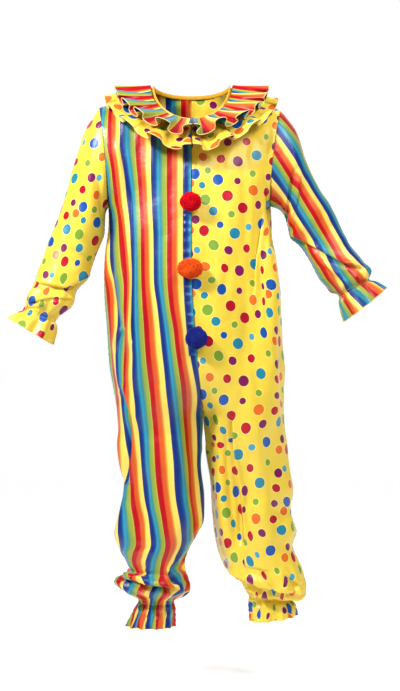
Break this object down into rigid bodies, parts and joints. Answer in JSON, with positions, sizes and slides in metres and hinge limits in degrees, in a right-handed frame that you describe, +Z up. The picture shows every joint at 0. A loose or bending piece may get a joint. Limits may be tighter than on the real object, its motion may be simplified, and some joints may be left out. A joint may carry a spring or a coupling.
{
  "type": "clown jumpsuit",
  "caption": "Worn clown jumpsuit with a striped side and a dotted side, contrasting sleeves, a layered ruffle collar, front pompoms and frilled cuffs, hollow inside.",
  "frame": {"origin": "on the shoulder line at the middle of the neck, where the wearer's shoulders carry the garment", "axes": "+Z up along the body, -Y towards the front, +X towards the wearer's left"},
  "size_m": [1.0202, 0.4013, 1.4604],
  "materials": {
    "striped_satin": "shiny woven polyester satin, vertical rainbow stripes",
    "dotted_satin": "shiny woven polyester satin, yellow with dots of mixed colours",
    "binding_satin": "plain yellow satin bias binding",
    "red_pompom": "matt fuzzy yarn",
    "orange_pompom": "matt fuzzy yarn",
    "blue_pompom": "matt fuzzy yarn"
  },
  "bodies": {
    "root": {"right_front": "striped_satin", "right_back": "striped_satin", "left_front": "dotted_satin", "left_back": "dotted_satin", "right_sleeve": "dotted_satin", "left_sleeve": "striped_satin", "collar_ruffle_lower": "dotted_satin", "collar_ruffle_upper": "striped_satin", "neck_binding": "binding_satin", "front_placket": "striped_satin", "pompom_red": "red_pompom", "pompom_orange": "orange_pompom", "pompom_blue": "blue_pompom"}
  },
  "joints": []
}
